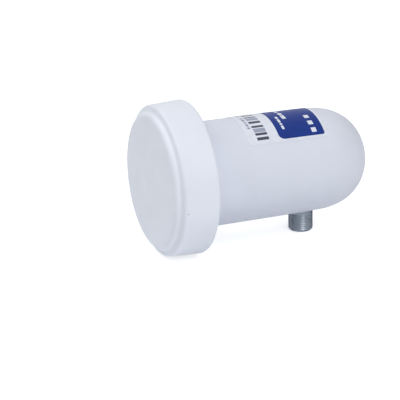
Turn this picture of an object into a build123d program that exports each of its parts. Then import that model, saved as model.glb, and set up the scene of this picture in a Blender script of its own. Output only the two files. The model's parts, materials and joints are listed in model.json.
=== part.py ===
from build123d import *
from math import sqrt
import os

# Satellite LNB: the receiver head that a dish arm holds by its 40 mm neck.
# +X runs along its axis from the front cap to the domed end, and the connector points to -Z.
# The origin is on the axis, at the middle of the clamp seat. Sizes are in millimetres.

# Clamp seat and housing
clamp_radius = 20.0
seat_length = 25.0
neck_length = 7.1
neck_draft = 0.15
housing_wall = 2.4
barrel_draft = 0.25
dome_setback = 4.5
dome_length = 20.8
dome_fullness = 0.61
flange_thickness = 2.2
flange_fillet = 0.8

# Front cap
cap_overhang = 9.2
cap_draft = 0.7
cap_wall = 1.6
cap_front_edge = 1.5
cap_rear_edge = 1.2
cap_clearance = 0.25
plateau_edge = 2.1
plateau_rim = 0.7
plateau_draft = 0.8
shoulder_flat = 0.9
crease_rounding = 0.9
bead_depth = 0.5
bead_land = 0.3
bead_length = 1.1
snap_clearance = 0.1
gate_radius = 1.3
gate_depth = 0.15

# Cap seal
seal_width = 1.6
seal_height = 1.6
seal_gap = 0.05
base_clearance = 0.2

# Horn, waveguide and board deck, one casting
horn_gap = 0.5
choke_depth = 6.0
choke_wall = 1.4
choke_count = 3
base_thickness = 2.0
mouth_radius = 12.2
flare_length = 16.0
waveguide_radius = 8.75
tube_wall = 1.5
back_short_gap = 6.0
pilot_length = 5.0
pilot_clearance = 0.2
deck_skin = 0.25
deck_thickness = 2.5
web_thickness = 4.0
web_depth = 8.0
post_radius = 7.6
post_passage_radius = 2.2

# Circuit board and its screen
board_thickness = 0.8
board_setback = 1.0
board_margin = 0.3
front_board_length = 17.0
cover_clearance = 0.3
cover_wall = 1.5
cover_rim = 2.0
cover_setback = 0.5
pillar_radius = 2.4
absorber_thickness = 0.5
absorber_half_angle = 14.0
absorber_margin = 1.0
absorber_gap = 0.02

# Screws that hold the screen and the board to the deck
screw_inset = 4.0
screw_end_inset = 3.0
screw_radius = 0.9
screw_grip = 1.0
screw_depth = 2.0
screw_head_radius = 1.5
screw_head_height = 1.0
screw_slot_length = 1.8
screw_slot_width = 0.4
screw_slot_depth = 0.5
screw_clearance = 0.1
head_clearance = 0.3
tap_clearance = 0.05

# Waveguide probes
probe_radius = 0.6
probe_spacing = 9.5
probe_depth = 5.0
probe_bend = 1.2
probe_solder = 0.5
probe_clearance = 0.05
side_probe_inset = 2.25
side_probe_reach = 5.0
sleeve_wall = 0.9
sleeve_stub = 0.3
rod_radius = 0.8
rod_clearance = 0.02
rod_end_inset = 0.2

# Oscillator pucks and their tuning screws
puck_radius = 2.6
puck_height = 1.6
puck_gap = 1.0
spacer_radius = 1.4
spacer_height = 0.6
probe_keepout = 2.8
contact_keepout = 2.7
tuning_radius = 1.5
tuning_recess = 0.3
tuning_reach = 0.2

# Parts on the board
transistor_size = 1.6
transistor_height = 0.7
mixer_size = 3.0
mixer_height = 0.9
amplifier_length = 2.9
amplifier_width = 1.6
amplifier_height = 1.0
controller_length = 5.0
controller_width = 4.0
controller_height = 1.2
regulator_length = 4.5
regulator_width = 2.5
regulator_height = 1.0
choke_radius = 0.85
choke_length = 3.2
choke_end_radius = 1.0
choke_end_length = 0.4
chip_length = 1.6
chip_width = 0.8
capacitor_height = 0.8
resistor_height = 0.45
chip_pitch = 2.4
chip_count = 4
chip_rows_setback = 7.2
part_gap = 0.8

# Coaxial connector, 3/8-32 thread
thread_radius = 4.7625
thread_relief = 0.16
thread_gap = 0.4
connector_projection = 8.0
tip_chamfer = 0.7
screw_in = 7.0
stem_clearance = 0.05
wall_clearance = 0.15
post_floor_gap = 0.2
pad_border = 0.4
pad_height = 0.4
pad_root = 0.5
insulator_radius = 3.3
insulator_clearance = 0.05
insulator_recess = 0.4
insulator_nose = 1.2
insulator_lip = 1.0
entry_radius = 0.75
entry_chamfer = 0.4
contact_radius = 0.95
contact_bore_radius = 0.55
contact_bore_depth = 6.0
contact_clearance = 0.05
contact_stem_radius = 0.6
contact_solder = 0.6
gasket_width = 1.15
gasket_height = 1.0

# Label
label_setback = 10.6
label_margin = 0.5
label_half_angle = 49.0
label_thickness = 0.1
glue_gap = 0.02

# Places along the axis, from the clamp seat forward
seat_front = -seat_length / 2
seat_rear = seat_length / 2
cap_rim_x = seat_front - neck_length
bead_x = cap_rim_x - bead_length
flange_rear = bead_x - snap_clearance
flange_front = flange_rear - flange_thickness
base_front = flange_front - base_thickness
horn_front = base_front - choke_depth
shoulder_x = horn_front - horn_gap - cap_wall
plateau_height = plateau_edge + plateau_rim
front_x = shoulder_x - plateau_height

# Places along the axis, from the flange rearward
deck_front = flange_front + pilot_length
board_front = deck_front + board_setback
side_probe_x = board_front + front_board_length
top_probe_x = side_probe_x + probe_spacing
rod_x = (side_probe_x + top_probe_x) / 2
back_short = top_probe_x + back_short_gap
tube_rear = back_short + tube_wall
low_puck_x = top_probe_x + probe_keepout + puck_radius
high_puck_x = low_puck_x + 2 * puck_radius + puck_gap
connector_x = high_puck_x + puck_radius + contact_keepout
deck_rear = connector_x + post_radius
board_rear = deck_rear - board_setback
cover_front = board_front + cover_setback
cover_rear = board_rear - cover_setback
barrel_rear = connector_x + dome_setback
apex_x = barrel_rear + dome_length

# Radii
neck_radius = clamp_radius - neck_draft
barrel_radius = clamp_radius - barrel_draft
inner_radius = clamp_radius - housing_wall
cap_rear_radius = clamp_radius + cap_overhang
cap_front_radius = cap_rear_radius - cap_draft
crease_radius = cap_front_radius - cap_front_edge - shoulder_flat
plateau_radius = crease_radius - plateau_draft
pilot_radius = inner_radius - pilot_clearance
tube_radius = waveguide_radius + tube_wall
cover_radius = inner_radius - cover_clearance
ceiling_radius = cover_radius - cover_wall
stem_radius = thread_radius - thread_relief
sleeve_radius = probe_radius + probe_clearance + sleeve_wall


def skirt_inner(x):
    """Inner radius of the cap's sloping skirt at x."""
    slope = cap_draft / (cap_rim_x - shoulder_x)
    return cap_rear_radius - slope * (cap_rim_x - x) - cap_wall


def barrel_outer(x):
    """Outer radius of the body behind the clamp seat at x."""
    return clamp_radius - barrel_draft * (x - seat_rear) / (barrel_rear - seat_rear)


flange_radius = skirt_inner(flange_front) - cap_clearance
bead_radius = flange_radius - bead_depth
seal_outer_radius = skirt_inner(flange_front - seal_height) - seal_gap
seal_inner_radius = seal_outer_radius - seal_width
base_radius = seal_inner_radius - base_clearance
choke_pitch = (base_radius - mouth_radius - choke_wall) / choke_count

# Heights over the axis
deck_top = tube_radius + deck_skin
deck_bottom = deck_top - deck_thickness
board_top = deck_top + board_thickness
screw_seat = board_top + screw_grip
pad_radius = post_radius + pad_border
pad_z = pad_height - sqrt(inner_radius**2 - pad_radius**2)
connector_top = pad_z + screw_in
underside = barrel_outer(connector_x)
tip_z = -underside - connector_projection
thread_top = -underside - thread_gap
insulator_bottom = tip_z + insulator_recess
contact_bottom = insulator_bottom + insulator_nose
insulator_top = connector_top - insulator_lip

# Widths and places on the board
board_half = sqrt(cover_radius**2 - board_top**2) - board_margin
side_probe_y = waveguide_radius - side_probe_inset
screw_y = board_half - screw_inset
screw_xs = (board_front + screw_end_inset, rod_x, board_rear - screw_end_inset)
screw_places = [(x, y) for x in screw_xs for y in (screw_y, -screw_y)]
puck_places = [(low_puck_x, 0), (high_puck_x, 0)]
probe_places = [(top_probe_x, 0), (side_probe_x, side_probe_y)]
puck_side = puck_radius + part_gap
mixer_place = ((low_puck_x + high_puck_x) / 2, -puck_side - mixer_size / 2)
amplifier_place = (low_puck_x, puck_side + amplifier_width / 2)
chip_rows_x = side_probe_x - chip_rows_setback
controller_place = (chip_rows_x, -chip_width - part_gap - controller_width / 2)
regulator_place = (connector_x - contact_keepout, -puck_side - regulator_width / 2)
choke_x = connector_x + contact_stem_radius + part_gap + choke_end_radius
transistor_places = [
    (side_probe_x - probe_radius - part_gap - transistor_size / 2, side_probe_y - part_gap),
    (top_probe_x - probe_radius - part_gap - transistor_size / 2, 0),
    (side_probe_x, 0),
]
connector_axis = Axis((connector_x, 0, 0), (0, 0, 1))

with BuildPart() as front_cap:
    with BuildSketch(Plane.XZ):
        with BuildLine():
            Polyline(
                (front_x, 0),
                (front_x, plateau_radius),
                (shoulder_x, crease_radius),
                (shoulder_x, cap_front_radius),
                (cap_rim_x, cap_rear_radius),
                (cap_rim_x, flange_radius),
                (bead_x + bead_land, bead_radius),
                (bead_x, bead_radius),
                (bead_x, skirt_inner(bead_x)),
                (shoulder_x + cap_wall, skirt_inner(shoulder_x + cap_wall)),
                (shoulder_x + cap_wall, crease_radius - cap_wall),
                (front_x + cap_wall, plateau_radius - cap_wall),
                (front_x + cap_wall, 0),
                close=True,
            )
        make_face()
    revolve(axis=Axis.X)
    circles = front_cap.edges().filter_by(GeomType.CIRCLE)
    shoulder_circles = circles.filter_by_position(Axis.X, shoulder_x, shoulder_x).sort_by(SortBy.RADIUS)
    fillet(circles.group_by(Axis.X)[0], plateau_edge)
    fillet(shoulder_circles[0], crease_rounding)
    fillet(shoulder_circles[-1], cap_front_edge)
    fillet(circles.sort_by(SortBy.RADIUS)[-1], cap_rear_edge)
    with BuildSketch(Plane.YZ.offset(front_x)):
        Circle(gate_radius)
    extrude(amount=gate_depth, mode=Mode.SUBTRACT)
front_cap.part.label = "front_cap"

with BuildPart() as housing:
    with BuildSketch(Plane.XZ):
        with BuildLine():
            outer = Polyline(
                (flange_front, inner_radius),
                (flange_front, flange_radius),
                (flange_rear, flange_radius),
                (flange_rear, neck_radius),
                (seat_front, clamp_radius),
                (seat_rear, clamp_radius),
                (barrel_rear, barrel_radius),
            )
            Bezier(
                (barrel_rear, barrel_radius),
                (barrel_rear + dome_fullness * dome_length, barrel_radius),
                (apex_x, dome_fullness * barrel_radius),
                (apex_x, 0),
            )
            Line((apex_x, 0), (apex_x - housing_wall, 0))
            Bezier(
                (apex_x - housing_wall, 0),
                (apex_x - housing_wall, dome_fullness * inner_radius),
                (barrel_rear + dome_fullness * (dome_length - housing_wall), inner_radius),
                (barrel_rear, inner_radius),
            )
            Line((barrel_rear, inner_radius), outer @ 0)
        make_face()
    revolve(axis=Axis.X)
    flange_edges = housing.edges().filter_by_position(Axis.X, flange_rear, flange_rear)
    fillet(flange_edges.sort_by(SortBy.RADIUS)[0], flange_fillet)
    with BuildSketch(Plane.XY.offset(pad_z)):
        with Locations((connector_x, 0)):
            Circle(pad_radius)
    extrude(amount=-inner_radius - pad_root - pad_z)
    with Locations((connector_x, 0, pad_z)):
        Hole(stem_radius + wall_clearance, depth=clamp_radius + pad_z)
housing.part.label = "housing"

with BuildPart() as cap_seal:
    with BuildSketch(Plane.YZ.offset(flange_front)):
        Circle(seal_outer_radius)
        Circle(seal_inner_radius, mode=Mode.SUBTRACT)
    extrude(amount=-seal_height)
cap_seal.part.label = "cap_seal"

with BuildPart() as horn_casting:
    with BuildSketch(Plane.XZ):
        with BuildLine():
            Polyline(
                (base_front, 0),
                (base_front, base_radius),
                (flange_front, base_radius),
                (flange_front, pilot_radius),
                (deck_front, pilot_radius),
                (deck_front, tube_radius),
                (tube_rear, tube_radius),
                (tube_rear, 0),
                close=True,
            )
        make_face()
    revolve(axis=Axis.X)
    for ring in range(choke_count + 1):
        ring_radius = mouth_radius + choke_wall + ring * choke_pitch
        with BuildSketch(Plane.YZ.offset(base_front)):
            Circle(ring_radius)
            Circle(ring_radius - choke_wall, mode=Mode.SUBTRACT)
        extrude(amount=-choke_depth)
    with BuildSketch(Plane.XY.offset(deck_top)):
        with Locations(((deck_front + deck_rear) / 2, 0)):
            Rectangle(deck_rear - deck_front, 2 * board_half)
    extrude(amount=-deck_thickness)
    with BuildSketch(Plane.XY.offset(deck_bottom)):
        with Locations((connector_x, 0)):
            Circle(post_radius)
    extrude(amount=pad_z - deck_bottom)
    with BuildSketch(Plane.XY.offset(deck_bottom)):
        with Locations(((back_short + connector_x) / 2, 0)):
            Rectangle(connector_x - back_short, web_thickness)
    extrude(amount=-deck_bottom - web_depth)
    with BuildSketch(Plane.XZ):
        with BuildLine():
            Polyline(
                (horn_front, 0),
                (horn_front, mouth_radius),
                (horn_front + flare_length, waveguide_radius),
                (back_short, waveguide_radius),
                (back_short, 0),
                close=True,
            )
        make_face()
    revolve(axis=Axis.X, mode=Mode.SUBTRACT)
    with Locations(*[(x, y, deck_top) for x, y in probe_places]):
        Hole(sleeve_radius + probe_clearance, depth=deck_top)
    with Locations(*[(x, y, deck_top) for x, y in screw_places]):
        Hole(screw_radius + tap_clearance, depth=screw_depth + tap_clearance)
    with BuildSketch(Plane.XZ):
        with Locations((rod_x, 0)):
            Circle(rod_radius + rod_clearance)
    extrude(amount=tube_radius, both=True, mode=Mode.SUBTRACT)
    with Locations((connector_x, 0, deck_top)):
        Hole(post_passage_radius, depth=deck_top - pad_z)
    with Locations((connector_x, 0, pad_z)):
        Hole(stem_radius + stem_clearance, depth=screw_in + post_floor_gap)
        Hole(stem_radius + 2 * stem_clearance + gasket_width, depth=gasket_height)
horn_casting.part.label = "horn_casting"

with BuildPart() as circuit_board:
    with BuildSketch(Plane.XY.offset(deck_top)):
        with Locations(((board_front + board_rear) / 2, 0)):
            Rectangle(board_rear - board_front, 2 * board_half)
        with Locations(*screw_places):
            Circle(screw_radius + screw_clearance, mode=Mode.SUBTRACT)
        with Locations(*probe_places):
            Circle(probe_radius + probe_clearance, mode=Mode.SUBTRACT)
        with Locations((connector_x, 0)):
            Circle(contact_stem_radius + contact_clearance, mode=Mode.SUBTRACT)
    extrude(amount=board_thickness)
circuit_board.part.label = "circuit_board"

with BuildPart() as shield_cover:
    with BuildSketch(Plane.YZ.offset(cover_front)) as arch:
        Circle(cover_radius)
        with Locations((0, board_top + cover_radius / 2)):
            Rectangle(2 * board_half, cover_radius, mode=Mode.INTERSECT)
    extrude(amount=cover_rear - cover_front)
    with BuildSketch(Plane.YZ.offset(cover_front + cover_wall)):
        Circle(ceiling_radius)
        with Locations((0, board_top + cover_radius / 2)):
            Rectangle(2 * (board_half - cover_rim), cover_radius, mode=Mode.INTERSECT)
    extrude(amount=cover_rear - cover_front - 2 * cover_wall, mode=Mode.SUBTRACT)
    with BuildSketch(Plane.XY.offset(board_top)):
        with Locations(*screw_places):
            Circle(pillar_radius)
    extrude(amount=cover_radius - board_top)
    extrude(arch.sketch, amount=cover_rear - cover_front, mode=Mode.INTERSECT)
    with BuildSketch(Plane.XY.offset(screw_seat)):
        with Locations(*screw_places):
            Circle(screw_head_radius + head_clearance)
    extrude(amount=cover_radius - screw_seat, mode=Mode.SUBTRACT)
    with Locations(*[(x, y, screw_seat) for x, y in screw_places]):
        Hole(screw_radius + screw_clearance, depth=screw_grip)
    with Locations(*[(x, y, cover_radius) for x, y in puck_places]):
        Hole(tuning_radius + tap_clearance, depth=2 * cover_wall)
shield_cover.part.label = "shield_cover"

with BuildPart() as cover_screws:
    with BuildSketch(Plane.XY.offset(screw_seat)):
        with Locations(*screw_places):
            Circle(screw_head_radius)
    extrude(amount=screw_head_height)
    with BuildSketch(Plane.XY.offset(screw_seat)):
        with Locations(*screw_places):
            Circle(screw_radius)
    extrude(amount=-screw_grip - board_thickness - screw_depth)
    with BuildSketch(Plane.XY.offset(screw_seat + screw_head_height)):
        with Locations(*screw_places):
            Rectangle(screw_slot_length, screw_slot_width)
            Rectangle(screw_slot_width, screw_slot_length)
    extrude(amount=-screw_slot_depth, mode=Mode.SUBTRACT)
cover_screws.part.label = "cover_screws"

with BuildPart() as vertical_probe:
    with BuildSketch(Plane.XY.offset(board_top + probe_solder)):
        with Locations((top_probe_x, 0)):
            Circle(probe_radius)
    extrude(amount=waveguide_radius - probe_depth - board_top - probe_solder)
vertical_probe.part.label = "vertical_probe"

with BuildPart() as horizontal_probe:
    with BuildLine() as bent_wire:
        FilletPolyline(
            (side_probe_x, side_probe_y, board_top + probe_solder),
            (side_probe_x, side_probe_y, 0),
            (side_probe_x, side_probe_y - side_probe_reach, 0),
            radius=probe_bend,
        )
    with BuildSketch(Plane.XY.offset(board_top + probe_solder)):
        with Locations((side_probe_x, side_probe_y)):
            Circle(probe_radius)
    sweep(path=bent_wire.wire())
horizontal_probe.part.label = "horizontal_probe"

with BuildPart() as probe_sleeves:
    sleeve_bottoms = (waveguide_radius - sleeve_stub, probe_bend + probe_radius)
    for (x, y), sleeve_bottom in zip(probe_places, sleeve_bottoms):
        with BuildSketch(Plane.XY.offset(deck_top)):
            with Locations((x, y)):
                Circle(sleeve_radius)
                Circle(probe_radius + probe_clearance, mode=Mode.SUBTRACT)
        extrude(amount=sleeve_bottom - deck_top)
probe_sleeves.part.label = "probe_sleeves"

with BuildPart() as isolator_rod:
    with BuildSketch(Plane.XZ):
        with Locations((rod_x, 0)):
            Circle(rod_radius)
    extrude(amount=tube_radius - rod_end_inset, both=True)
isolator_rod.part.label = "isolator_rod"

with BuildPart() as resonator_spacers:
    with BuildSketch(Plane.XY.offset(board_top)):
        with Locations(*puck_places):
            Circle(spacer_radius)
    extrude(amount=spacer_height)
resonator_spacers.part.label = "resonator_spacers"

with BuildPart() as low_band_resonator:
    with BuildSketch(Plane.XY.offset(board_top + spacer_height)):
        with Locations((low_puck_x, 0)):
            Circle(puck_radius)
    extrude(amount=puck_height)
low_band_resonator.part.label = "low_band_resonator"

with BuildPart() as high_band_resonator:
    with BuildSketch(Plane.XY.offset(board_top + spacer_height)):
        with Locations((high_puck_x, 0)):
            Circle(puck_radius)
    extrude(amount=puck_height)
high_band_resonator.part.label = "high_band_resonator"

with BuildPart() as tuning_screws:
    with BuildSketch(Plane.XY.offset(cover_radius - tuning_recess)):
        with Locations(*puck_places):
            Circle(tuning_radius)
    extrude(amount=ceiling_radius - tuning_reach - cover_radius + tuning_recess)
    with BuildSketch(Plane.XY.offset(cover_radius - tuning_recess)):
        with Locations(*puck_places):
            Rectangle(screw_slot_length, screw_slot_width)
    extrude(amount=-screw_slot_depth, mode=Mode.SUBTRACT)
tuning_screws.part.label = "tuning_screws"

with BuildPart() as absorber_pad:
    pad_length = chip_rows_x - cover_front - cover_wall
    upper_radius = ceiling_radius - absorber_gap
    lower_radius = upper_radius - absorber_thickness
    start_angle = 90 - absorber_half_angle
    with BuildSketch(Plane.YZ.offset(cover_front + cover_wall + absorber_margin)):
        with BuildLine():
            roof = CenterArc((0, 0), upper_radius, start_angle, 2 * absorber_half_angle)
            floor = CenterArc((0, 0), lower_radius, start_angle, 2 * absorber_half_angle)
            Line(roof @ 0, floor @ 0)
            Line(roof @ 1, floor @ 1)
        make_face()
    extrude(amount=pad_length)
absorber_pad.part.label = "absorber_pad"

with BuildPart() as low_noise_transistors:
    with BuildSketch(Plane.XY.offset(board_top)):
        with Locations(*transistor_places):
            Rectangle(transistor_size, transistor_size)
    extrude(amount=transistor_height)
low_noise_transistors.part.label = "low_noise_transistors"

with BuildPart() as mixer_chip:
    with BuildSketch(Plane.XY.offset(board_top)):
        with Locations(mixer_place):
            Rectangle(mixer_size, mixer_size)
    extrude(amount=mixer_height)
mixer_chip.part.label = "mixer_chip"

with BuildPart() as output_amplifier:
    with BuildSketch(Plane.XY.offset(board_top)):
        with Locations(amplifier_place):
            Rectangle(amplifier_length, amplifier_width)
    extrude(amount=amplifier_height)
output_amplifier.part.label = "output_amplifier"

with BuildPart() as bias_controller:
    with BuildSketch(Plane.XY.offset(board_top)):
        with Locations(controller_place):
            Rectangle(controller_length, controller_width)
    extrude(amount=controller_height)
bias_controller.part.label = "bias_controller"

with BuildPart() as voltage_regulator:
    with BuildSketch(Plane.XY.offset(board_top)):
        with Locations(regulator_place):
            Rectangle(regulator_length, regulator_width)
    extrude(amount=regulator_height)
voltage_regulator.part.label = "voltage_regulator"

with BuildPart() as supply_choke:
    with BuildSketch(Plane.XZ):
        with Locations((choke_x, board_top + choke_end_radius)):
            Circle(choke_radius)
    extrude(amount=choke_length / 2, both=True)
    for end_y in (choke_length / 2, choke_end_length - choke_length / 2):
        with BuildSketch(Plane.XZ.offset(end_y)):
            with Locations((choke_x, board_top + choke_end_radius)):
                Circle(choke_end_radius)
        extrude(amount=-choke_end_length)
supply_choke.part.label = "supply_choke"

with BuildPart() as chip_capacitors:
    with BuildSketch(Plane.XY.offset(board_top)):
        with Locations((chip_rows_x, chip_width)):
            with GridLocations(chip_pitch, 0, chip_count, 1):
                Rectangle(chip_length, chip_width)
    extrude(amount=capacitor_height)
chip_capacitors.part.label = "chip_capacitors"

with BuildPart() as chip_resistors:
    with BuildSketch(Plane.XY.offset(board_top)):
        with Locations((chip_rows_x, 2 * chip_width + part_gap)):
            with GridLocations(chip_pitch, 0, chip_count, 1):
                Rectangle(chip_length, chip_width)
    extrude(amount=resistor_height)
chip_resistors.part.label = "chip_resistors"

with BuildPart() as connector_body:
    with BuildSketch(Plane.XZ):
        with BuildLine():
            Polyline(
                (connector_x + insulator_radius + insulator_clearance, tip_z),
                (connector_x + thread_radius - tip_chamfer, tip_z),
                (connector_x + thread_radius, tip_z + tip_chamfer),
                (connector_x + thread_radius, thread_top),
                (connector_x + stem_radius, thread_top),
                (connector_x + stem_radius, connector_top),
                (connector_x + post_passage_radius, connector_top),
                (connector_x + post_passage_radius, insulator_top + insulator_clearance),
                (connector_x + insulator_radius + insulator_clearance, insulator_top + insulator_clearance),
                close=True,
            )
        make_face()
    revolve(axis=connector_axis)
connector_body.part.label = "connector_body"

with BuildPart() as connector_insulator:
    with BuildSketch(Plane.XZ):
        with BuildLine():
            Polyline(
                (connector_x + entry_radius + entry_chamfer, insulator_bottom),
                (connector_x + insulator_radius, insulator_bottom),
                (connector_x + insulator_radius, insulator_top),
                (connector_x + contact_radius + contact_clearance, insulator_top),
                (connector_x + contact_radius + contact_clearance, contact_bottom),
                (connector_x + entry_radius, contact_bottom),
                (connector_x + entry_radius, insulator_bottom + entry_chamfer),
                close=True,
            )
        make_face()
    revolve(axis=connector_axis)
connector_insulator.part.label = "connector_insulator"

with BuildPart() as centre_contact:
    with BuildSketch(Plane.XZ):
        with BuildLine():
            Polyline(
                (connector_x + contact_bore_radius, contact_bottom),
                (connector_x + contact_radius, contact_bottom),
                (connector_x + contact_radius, insulator_top),
                (connector_x + contact_stem_radius, insulator_top),
                (connector_x + contact_stem_radius, board_top + contact_solder),
                (connector_x, board_top + contact_solder),
                (connector_x, contact_bottom + contact_bore_depth),
                (connector_x + contact_bore_radius, contact_bottom + contact_bore_depth),
                close=True,
            )
        make_face()
    revolve(axis=connector_axis)
centre_contact.part.label = "centre_contact"

with BuildPart() as connector_seal:
    with BuildSketch(Plane.XY.offset(pad_z)):
        with Locations((connector_x, 0)):
            Circle(stem_radius + stem_clearance + gasket_width)
            Circle(stem_radius + stem_clearance, mode=Mode.SUBTRACT)
    extrude(amount=gasket_height)
connector_seal.part.label = "connector_seal"

with BuildPart() as type_label:
    label_front = seat_front + label_setback
    label_rear = barrel_rear - label_margin
    with BuildSketch(Plane.XZ.rotated((-label_half_angle, 0, 0))):
        with BuildLine():
            Polyline(
                (label_front, clamp_radius + glue_gap),
                (label_front, clamp_radius + glue_gap + label_thickness),
                (seat_rear, clamp_radius + glue_gap + label_thickness),
                (label_rear, barrel_outer(label_rear) + glue_gap + label_thickness),
                (label_rear, barrel_outer(label_rear) + glue_gap),
                (seat_rear, clamp_radius + glue_gap),
                close=True,
            )
        make_face()
    revolve(axis=Axis.X, revolution_arc=2 * label_half_angle)
type_label.part.label = "type_label"

os.makedirs("parts", exist_ok=True)
export_step(front_cap.part, "parts/front_cap.step")
export_step(housing.part, "parts/housing.step")
export_step(cap_seal.part, "parts/cap_seal.step")
export_step(horn_casting.part, "parts/horn_casting.step")
export_step(circuit_board.part, "parts/circuit_board.step")
export_step(shield_cover.part, "parts/shield_cover.step")
export_step(cover_screws.part, "parts/cover_screws.step")
export_step(vertical_probe.part, "parts/vertical_probe.step")
export_step(horizontal_probe.part, "parts/horizontal_probe.step")
export_step(probe_sleeves.part, "parts/probe_sleeves.step")
export_step(isolator_rod.part, "parts/isolator_rod.step")
export_step(low_band_resonator.part, "parts/low_band_resonator.step")
export_step(high_band_resonator.part, "parts/high_band_resonator.step")
export_step(resonator_spacers.part, "parts/resonator_spacers.step")
export_step(tuning_screws.part, "parts/tuning_screws.step")
export_step(absorber_pad.part, "parts/absorber_pad.step")
export_step(low_noise_transistors.part, "parts/low_noise_transistors.step")
export_step(mixer_chip.part, "parts/mixer_chip.step")
export_step(output_amplifier.part, "parts/output_amplifier.step")
export_step(bias_controller.part, "parts/bias_controller.step")
export_step(voltage_regulator.part, "parts/voltage_regulator.step")
export_step(supply_choke.part, "parts/supply_choke.step")
export_step(chip_capacitors.part, "parts/chip_capacitors.step")
export_step(chip_resistors.part, "parts/chip_resistors.step")
export_step(connector_body.part, "parts/connector_body.step")
export_step(connector_insulator.part, "parts/connector_insulator.step")
export_step(centre_contact.part, "parts/centre_contact.step")
export_step(connector_seal.part, "parts/connector_seal.step")
export_step(type_label.part, "parts/type_label.step")
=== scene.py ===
"""Looks of a satellite LNB: moulded cap and housing, printed label and plated connector, in a white studio.

Shapes and places are in metres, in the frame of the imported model.
"""

import json
import math
from collections import namedtuple

import bmesh
import bpy
from bpy.props import FloatProperty, FloatVectorProperty, PointerProperty
from mathutils import Color, Matrix, Vector
from mathutils.geometry import interpolate_bezier


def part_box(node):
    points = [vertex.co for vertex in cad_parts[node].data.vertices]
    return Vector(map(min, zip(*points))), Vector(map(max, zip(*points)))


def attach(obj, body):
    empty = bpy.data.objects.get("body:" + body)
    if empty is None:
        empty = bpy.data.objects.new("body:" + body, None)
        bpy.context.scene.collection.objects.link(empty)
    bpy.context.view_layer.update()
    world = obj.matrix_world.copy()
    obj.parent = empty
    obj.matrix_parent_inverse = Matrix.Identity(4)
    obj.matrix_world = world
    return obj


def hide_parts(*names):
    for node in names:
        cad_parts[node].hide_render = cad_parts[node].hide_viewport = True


bl_info = {
    "name": "Satellite LNB",
    "version": (1, 0, 0),
    "blender": (4, 5, 0),
    "location": "3D View > Sidebar > LNB",
    "description": "Dresses the packed satellite LNB and lights it in a white studio",
    "category": "Object",
}

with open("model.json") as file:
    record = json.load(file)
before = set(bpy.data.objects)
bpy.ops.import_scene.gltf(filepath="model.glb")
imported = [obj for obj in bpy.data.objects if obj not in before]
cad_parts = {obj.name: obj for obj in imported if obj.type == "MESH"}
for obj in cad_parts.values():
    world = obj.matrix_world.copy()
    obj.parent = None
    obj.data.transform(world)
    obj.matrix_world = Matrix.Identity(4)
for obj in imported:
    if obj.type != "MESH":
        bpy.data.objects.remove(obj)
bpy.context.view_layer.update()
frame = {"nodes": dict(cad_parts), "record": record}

MM = 0.001
INCH = 25.4 * MM

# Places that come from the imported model, in metres
BODY = "root"
MOUNTS = {mount["name"]: mount for mount in frame["record"]["mounts"]}
SEAT_RADIUS = MOUNTS["neck_clamp"]["dims"]["r_mm"] * MM
SEAT_REAR = MOUNTS["neck_clamp"]["dims"]["length_mm"] * MM / 2
SEAT_FRONT = -SEAT_REAR
THREAD_RADIUS = MOUNTS["connector_thread"]["dims"]["r_mm"] * MM
CONNECTOR_X = MOUNTS["connector_thread"]["pos_m"][0]
SOCKET_RADIUS = MOUNTS["contact_socket"]["dims"]["r_mm"] * MM
SOCKET_DEPTH = MOUNTS["contact_socket"]["dims"]["length_mm"] * MM
CAP_LOW, CAP_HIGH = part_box("front_cap")
SHELL_LOW, SHELL_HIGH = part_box("housing")
LABEL_LOW, LABEL_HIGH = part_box("type_label")
BARREL_LOW, BARREL_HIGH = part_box("connector_body")
INSULATOR_LOW, INSULATOR_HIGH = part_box("connector_insulator")
CONTACT_LOW, CONTACT_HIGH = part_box("centre_contact")

# Places in the studio, in metres, and the camera's sensor in millimetres
CAMERA_AIM = Vector((-17.82, -4.66, -8.35)) * MM
CROWN_PLACE = Vector((-0.24, 0.14, 0.39))
FRONT_PLACE = Vector((0.0, -0.42, 0.42))
LOW_PLACE = Vector((0.0, -1.13, 0.41))
SENSOR_WIDTH = 36

# Mesh fineness
RING_SEGMENTS = 256
SMALL_RING_SEGMENTS = 96
ARC_STEP = math.radians(7.5)
LEAST_ARC_STEPS = 3
DOME_STEPS = 40
WRAP_STEP = math.radians(1.5)
LEAST_WRAP_ROWS = 2
CORNER_STEPS = 8
ROWS_PER_THREAD = 20
SHARP_ANGLE = math.radians(32)
WELD = 1e-7

# Materials: colour sockets of the Mix node, the stretch of a noise that fills a range, a relief's detail
MIX_FIRST, MIX_SECOND, MIX_RESULT = 6, 7, 2
NOISE_LOW, NOISE_HIGH = 0.3, 0.7
RELIEF_DETAIL = 2
WHITE = (1, 1, 1)


def srgb(*levels):
    """Scene-linear colour of an 8-bit screen colour."""
    return tuple(Color([level / 255 for level in levels]).from_srgb_to_scene_linear())


def size(name, description, default):
    """A length property in metres."""
    return FloatProperty(name=name, description=description, default=default, precision=5, unit="LENGTH")


def turn(name, description, default):
    """An angle property, given here in degrees."""
    return FloatProperty(name=name, description=description, default=math.radians(default), subtype="ANGLE")


def share(name, description, default):
    """A property from 0 to 1."""
    return FloatProperty(
        name=name, description=description, default=default, min=0, max=1, subtype="FACTOR"
    )


def power(name, description, default):
    """A lamp's power in watts."""
    return FloatProperty(name=name, description=description, default=default, min=0, unit="POWER")


def colour(name, description, default):
    """A colour property."""
    return FloatVectorProperty(
        name=name, description=description, default=default, min=0, max=1, subtype="COLOR"
    )


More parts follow.
